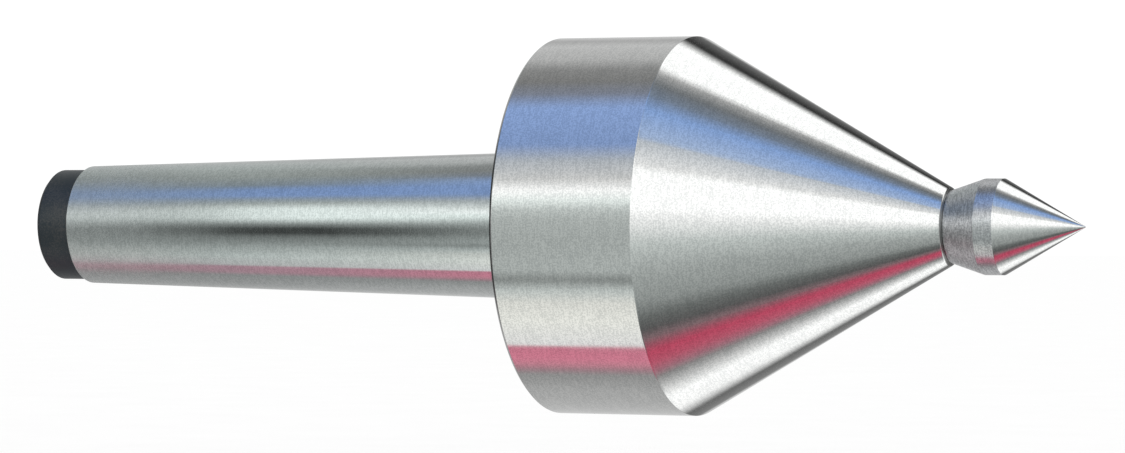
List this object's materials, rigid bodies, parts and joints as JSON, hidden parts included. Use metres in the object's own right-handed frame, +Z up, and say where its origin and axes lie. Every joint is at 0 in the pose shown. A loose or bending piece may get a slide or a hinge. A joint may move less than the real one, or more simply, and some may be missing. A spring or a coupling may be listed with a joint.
{
  "type": "live center",
  "caption": "Lathe tailstock live center: taper-shanked arbor that stays still, with a large cone head and slim conical point turning round it on bearings.",
  "frame": {"origin": "middle of the Morse taper's gauge line, on the axis, 5 mm behind the head's rear face", "axes": "+X along the axis to the point, +Z up, +Y to the left seen from the tail"},
  "size_m": [0.1791, 0.0604, 0.0604],
  "materials": {
    "ground_steel": "ground taper, with a blackened tail",
    "turned_steel": "hardened, fine turned and polished round the axis",
    "point_steel": "ground on the cone, plain turned behind it",
    "bearing_steel": "polished bearing steel",
    "cage_steel": "pressed sheet steel",
    "blacked_steel": "black oxide",
    "rubber": "moulded nitrile rubber"
  },
  "bodies": {
    "arbor": {"arbor": "ground_steel", "thrust_bearing_cone": "bearing_steel", "inner_spacer": "turned_steel", "ball_bearing_inner_ring": "bearing_steel", "lock_washer": "blacked_steel", "locknut": "blacked_steel"},
    "head": {"head": "turned_steel", "point": "point_steel", "rear_cover": "turned_steel", "cover_o_ring": "rubber", "shaft_seal": "rubber", "seal_garter_spring": "bearing_steel", "thrust_bearing_cup": "bearing_steel", "outer_spacer": "turned_steel", "ball_bearing_outer_ring": "bearing_steel", "needle_bearing_cup": "bearing_steel"},
    "thrust_cage": {"thrust_bearing_cage": "cage_steel"},
    "ball_cage": {"ball_bearing_cage": "cage_steel"},
    "needle_cage": {"needle_bearing_cage": "cage_steel"},
    "thrust_roller_01": {"thrust_roller_01": "bearing_steel"},
    "thrust_roller_02": {"thrust_roller_02": "bearing_steel"},
    "thrust_roller_03": {"thrust_roller_03": "bearing_steel"},
    "thrust_roller_04": {"thrust_roller_04": "bearing_steel"},
    "thrust_roller_05": {"thrust_roller_05": "bearing_steel"},
    "thrust_roller_06": {"thrust_roller_06": "bearing_steel"},
    "thrust_roller_07": {"thrust_roller_07": "bearing_steel"},
    "thrust_roller_08": {"thrust_roller_08": "bearing_steel"},
    "thrust_roller_09": {"thrust_roller_09": "bearing_steel"},
    "thrust_roller_10": {"thrust_roller_10": "bearing_steel"},
    "thrust_roller_11": {"thrust_roller_11": "bearing_steel"},
    "thrust_roller_12": {"thrust_roller_12": "bearing_steel"},
    "thrust_roller_13": {"thrust_roller_13": "bearing_steel"},
    "thrust_roller_14": {"thrust_roller_14": "bearing_steel"},
    "thrust_roller_15": {"thrust_roller_15": "bearing_steel"},
    "ball_01": {"ball_01": "bearing_steel"},
    "ball_02": {"ball_02": "bearing_steel"},
    "ball_03": {"ball_03": "bearing_steel"},
    "ball_04": {"ball_04": "bearing_steel"},
    "ball_05": {"ball_05": "bearing_steel"},
    "ball_06": {"ball_06": "bearing_steel"},
    "ball_07": {"ball_07": "bearing_steel"},
    "ball_08": {"ball_08": "bearing_steel"},
    "ball_09": {"ball_09": "bearing_steel"},
    "ball_10": {"ball_10": "bearing_steel"},
    "needle_01": {"needle_01": "bearing_steel"},
    "needle_02": {"needle_02": "bearing_steel"},
    "needle_03": {"needle_03": "bearing_steel"},
    "needle_04": {"needle_04": "bearing_steel"},
    "needle_05": {"needle_05": "bearing_steel"},
    "needle_06": {"needle_06": "bearing_steel"},
    "needle_07": {"needle_07": "bearing_steel"},
    "needle_08": {"needle_08": "bearing_steel"},
    "needle_09": {"needle_09": "bearing_steel"},
    "needle_10": {"needle_10": "bearing_steel"},
    "needle_11": {"needle_11": "bearing_steel"},
    "needle_12": {"needle_12": "bearing_steel"}
  },
  "joints": [
    {"name": "head_spin", "type": "hinge", "parent": "arbor", "child": "head", "pos_m": [0, 0, 0], "axis": [1, 0, 0], "continuous": true},
    {"name": "thrust_cage_spin", "type": "hinge", "parent": "arbor", "child": "thrust_cage", "pos_m": [0, 0, 0], "axis": [1, 0, 0], "continuous": true},
    {"name": "ball_cage_spin", "type": "hinge", "parent": "arbor", "child": "ball_cage", "pos_m": [0, 0, 0], "axis": [1, 0, 0], "continuous": true},
    {"name": "needle_cage_spin", "type": "hinge", "parent": "arbor", "child": "needle_cage", "pos_m": [0, 0, 0], "axis": [1, 0, 0], "continuous": true},
    {"name": "thrust_roller_01_spin", "type": "hinge", "parent": "thrust_cage", "child": "thrust_roller_01", "pos_m": [0.02155, 0, 0.01675], "axis": [0.9816, 0, -0.1908], "continuous": true},
    {"name": "thrust_roller_02_spin", "type": "hinge", "parent": "thrust_cage", "child": "thrust_roller_02", "pos_m": [0.02155, -0.00681, 0.0153], "axis": [0.9816, 0.0776, -0.1743], "continuous": true},
    {"name": "thrust_roller_03_spin", "type": "hinge", "parent": "thrust_cage", "child": "thrust_roller_03", "pos_m": [0.02155, -0.01245, 0.01121], "axis": [0.9816, 0.1418, -0.1277], "continuous": true},
    {"name": "thrust_roller_04_spin", "type": "hinge", "parent": "thrust_cage", "child": "thrust_roller_04", "pos_m": [0.02155, -0.01593, 0.00518], "axis": [0.9816, 0.1815, -0.059], "continuous": true},
    {"name": "thrust_roller_05_spin", "type": "hinge", "parent": "thrust_cage", "child": "thrust_roller_05", "pos_m": [0.02155, -0.01666, -0.00175], "axis": [0.9816, 0.1898, 0.0199], "continuous": true},
    {"name": "thrust_roller_06_spin", "type": "hinge", "parent": "thrust_cage", "child": "thrust_roller_06", "pos_m": [0.02155, -0.01451, -0.00838], "axis": [0.9816, 0.1652, 0.0954], "continuous": true},
    {"name": "thrust_roller_07_spin", "type": "hinge", "parent": "thrust_cage", "child": "thrust_roller_07", "pos_m": [0.02155, -0.00985, -0.01355], "axis": [0.9816, 0.1122, 0.1544], "continuous": true},
    {"name": "thrust_roller_08_spin", "type": "hinge", "parent": "thrust_cage", "child": "thrust_roller_08", "pos_m": [0.02155, -0.00348, -0.01638], "axis": [0.9816, 0.0397, 0.1866], "continuous": true},
    {"name": "thrust_roller_09_spin", "type": "hinge", "parent": "thrust_cage", "child": "thrust_roller_09", "pos_m": [0.02155, 0.00348, -0.01638], "axis": [0.9816, -0.0397, 0.1866], "continuous": true},
    {"name": "thrust_roller_10_spin", "type": "hinge", "parent": "thrust_cage", "child": "thrust_roller_10", "pos_m": [0.02155, 0.00985, -0.01355], "axis": [0.9816, -0.1122, 0.1544], "continuous": true},
    {"name": "thrust_roller_11_spin", "type": "hinge", "parent": "thrust_cage", "child": "thrust_roller_11", "pos_m": [0.02155, 0.01451, -0.00838], "axis": [0.9816, -0.1652, 0.0954], "continuous": true},
    {"name": "thrust_roller_12_spin", "type": "hinge", "parent": "thrust_cage", "child": "thrust_roller_12", "pos_m": [0.02155, 0.01666, -0.00175], "axis": [0.9816, -0.1898, 0.0199], "continuous": true},
    {"name": "thrust_roller_13_spin", "type": "hinge", "parent": "thrust_cage", "child": "thrust_roller_13", "pos_m": [0.02155, 0.01593, 0.00518], "axis": [0.9816, -0.1815, -0.059], "continuous": true},
    {"name": "thrust_roller_14_spin", "type": "hinge", "parent": "thrust_cage", "child": "thrust_roller_14", "pos_m": [0.02155, 0.01245, 0.01121], "axis": [0.9816, -0.1418, -0.1277], "continuous": true},
    {"name": "thrust_roller_15_spin", "type": "hinge", "parent": "thrust_cage", "child": "thrust_roller_15", "pos_m": [0.02155, 0.00681, 0.0153], "axis": [0.9816, -0.0776, -0.1743], "continuous": true},
    {"name": "ball_01_spin", "type": "hinge", "parent": "ball_cage", "child": "ball_01", "pos_m": [0.03717, 0, 0.013], "axis": [1, 0, 0], "continuous": true},
    {"name": "ball_02_spin", "type": "hinge", "parent": "ball_cage", "child": "ball_02", "pos_m": [0.03717, -0.00764, 0.01052], "axis": [1, 0, 0], "continuous": true},
    {"name": "ball_03_spin", "type": "hinge", "parent": "ball_cage", "child": "ball_03", "pos_m": [0.03717, -0.01236, 0.00402], "axis": [1, 0, 0], "continuous": true},
    {"name": "ball_04_spin", "type": "hinge", "parent": "ball_cage", "child": "ball_04", "pos_m": [0.03717, -0.01236, -0.00402], "axis": [1, 0, 0], "continuous": true},
    {"name": "ball_05_spin", "type": "hinge", "parent": "ball_cage", "child": "ball_05", "pos_m": [0.03717, -0.00764, -0.01052], "axis": [1, 0, 0], "continuous": true},
    {"name": "ball_06_spin", "type": "hinge", "parent": "ball_cage", "child": "ball_06", "pos_m": [0.03717, 0, -0.013], "axis": [1, 0, 0], "continuous": true},
    {"name": "ball_07_spin", "type": "hinge", "parent": "ball_cage", "child": "ball_07", "pos_m": [0.03717, 0.00764, -0.01052], "axis": [1, 0, 0], "continuous": true},
    {"name": "ball_08_spin", "type": "hinge", "parent": "ball_cage", "child": "ball_08", "pos_m": [0.03717, 0.01236, -0.00402], "axis": [1, 0, 0], "continuous": true},
    {"name": "ball_09_spin", "type": "hinge", "parent": "ball_cage", "child": "ball_09", "pos_m": [0.03717, 0.01236, 0.00402], "axis": [1, 0, 0], "continuous": true},
    {"name": "ball_10_spin", "type": "hinge", "parent": "ball_cage", "child": "ball_10", "pos_m": [0.03717, 0.00764, 0.01052], "axis": [1, 0, 0], "continuous": true},
    {"name": "needle_01_spin", "type": "hinge", "parent": "needle_cage", "child": "needle_01", "pos_m": [0.05334, 0, 0.00575], "axis": [1, 0, 0], "continuous": true},
    {"name": "needle_02_spin", "type": "hinge", "parent": "needle_cage", "child": "needle_02", "pos_m": [0.05334, -0.00287, 0.00498], "axis": [1, 0, 0], "continuous": true},
    {"name": "needle_03_spin", "type": "hinge", "parent": "needle_cage", "child": "needle_03", "pos_m": [0.05334, -0.00498, 0.00287], "axis": [1, 0, 0], "continuous": true},
    {"name": "needle_04_spin", "type": "hinge", "parent": "needle_cage", "child": "needle_04", "pos_m": [0.05334, -0.00575, 0], "axis": [1, 0, 0], "continuous": true},
    {"name": "needle_05_spin", "type": "hinge", "parent": "needle_cage", "child": "needle_05", "pos_m": [0.05334, -0.00498, -0.00287], "axis": [1, 0, 0], "continuous": true},
    {"name": "needle_06_spin", "type": "hinge", "parent": "needle_cage", "child": "needle_06", "pos_m": [0.05334, -0.00287, -0.00498], "axis": [1, 0, 0], "continuous": true},
    {"name": "needle_07_spin", "type": "hinge", "parent": "needle_cage", "child": "needle_07", "pos_m": [0.05334, 0, -0.00575], "axis": [1, 0, 0], "continuous": true},
    {"name": "needle_08_spin", "type": "hinge", "parent": "needle_cage", "child": "needle_08", "pos_m": [0.05334, 0.00287, -0.00498], "axis": [1, 0, 0], "continuous": true},
    {"name": "needle_09_spin", "type": "hinge", "parent": "needle_cage", "child": "needle_09", "pos_m": [0.05334, 0.00498, -0.00287], "axis": [1, 0, 0], "continuous": true},
    {"name": "needle_10_spin", "type": "hinge", "parent": "needle_cage", "child": "needle_10", "pos_m": [0.05334, 0.00575, 0], "axis": [1, 0, 0], "continuous": true},
    {"name": "needle_11_spin", "type": "hinge", "parent": "needle_cage", "child": "needle_11", "pos_m": [0.05334, 0.00498, 0.00287], "axis": [1, 0, 0], "continuous": true},
    {"name": "needle_12_spin", "type": "hinge", "parent": "needle_cage", "child": "needle_12", "pos_m": [0.05334, 0.00287, 0.00498], "axis": [1, 0, 0], "continuous": true}
  ],
  "couplings": [
    {"joint": "thrust_cage_spin", "follows": "head_spin", "ratio": 0.58644},
    {"joint": "ball_cage_spin", "follows": "head_spin", "ratio": 0.59158},
    {"joint": "needle_cage_spin", "follows": "head_spin", "ratio": 0.56522},
    {"joint": "thrust_roller_01_spin", "follows": "head_spin", "ratio": 2.7541},
    {"joint": "thrust_roller_02_spin", "follows": "head_spin", "ratio": 2.7541},
    {"joint": "thrust_roller_03_spin", "follows": "head_spin", "ratio": 2.7541},
    {"joint": "thrust_roller_04_spin", "follows": "head_spin", "ratio": 2.7541},
    {"joint": "thrust_roller_05_spin", "follows": "head_spin", "ratio": 2.7541},
    {"joint": "thrust_roller_06_spin", "follows": "head_spin", "ratio": 2.7541},
    {"joint": "thrust_roller_07_spin", "follows": "head_spin", "ratio": 2.7541},
    {"joint": "thrust_roller_08_spin", "follows": "head_spin", "ratio": 2.7541},
    {"joint": "thrust_roller_09_spin", "follows": "head_spin", "ratio": 2.7541},
    {"joint": "thrust_roller_10_spin", "follows": "head_spin", "ratio": 2.7541},
    {"joint": "thrust_roller_11_spin", "follows": "head_spin", "ratio": 2.7541},
    {"joint": "thrust_roller_12_spin", "follows": "head_spin", "ratio": 2.7541},
    {"joint": "thrust_roller_13_spin", "follows": "head_spin", "ratio": 2.7541},
    {"joint": "thrust_roller_14_spin", "follows": "head_spin", "ratio": 2.7541},
    {"joint": "thrust_roller_15_spin", "follows": "head_spin", "ratio": 2.7541},
    {"joint": "ball_01_spin", "follows": "head_spin", "ratio": 2.6384},
    {"joint": "ball_02_spin", "follows": "head_spin", "ratio": 2.6384},
    {"joint": "ball_03_spin", "follows": "head_spin", "ratio": 2.6384},
    {"joint": "ball_04_spin", "follows": "head_spin", "ratio": 2.6384},
    {"joint": "ball_05_spin", "follows": "head_spin", "ratio": 2.6384},
    {"joint": "ball_06_spin", "follows": "head_spin", "ratio": 2.6384},
    {"joint": "ball_07_spin", "follows": "head_spin", "ratio": 2.6384},
    {"joint": "ball_08_spin", "follows": "head_spin", "ratio": 2.6384},
    {"joint": "ball_09_spin", "follows": "head_spin", "ratio": 2.6384},
    {"joint": "ball_10_spin", "follows": "head_spin", "ratio": 2.6384},
    {"joint": "needle_01_spin", "follows": "head_spin", "ratio": 3.7681},
    {"joint": "needle_02_spin", "follows": "head_spin", "ratio": 3.7681},
    {"joint": "needle_03_spin", "follows": "head_spin", "ratio": 3.7681},
    {"joint": "needle_04_spin", "follows": "head_spin", "ratio": 3.7681},
    {"joint": "needle_05_spin", "follows": "head_spin", "ratio": 3.7681},
    {"joint": "needle_06_spin", "follows": "head_spin", "ratio": 3.7681},
    {"joint": "needle_07_spin", "follows": "head_spin", "ratio": 3.7681},
    {"joint": "needle_08_spin", "follows": "head_spin", "ratio": 3.7681},
    {"joint": "needle_09_spin", "follows": "head_spin", "ratio": 3.7681},
    {"joint": "needle_10_spin", "follows": "head_spin", "ratio": 3.7681},
    {"joint": "needle_11_spin", "follows": "head_spin", "ratio": 3.7681},
    {"joint": "needle_12_spin", "follows": "head_spin", "ratio": 3.7681}
  ]
}
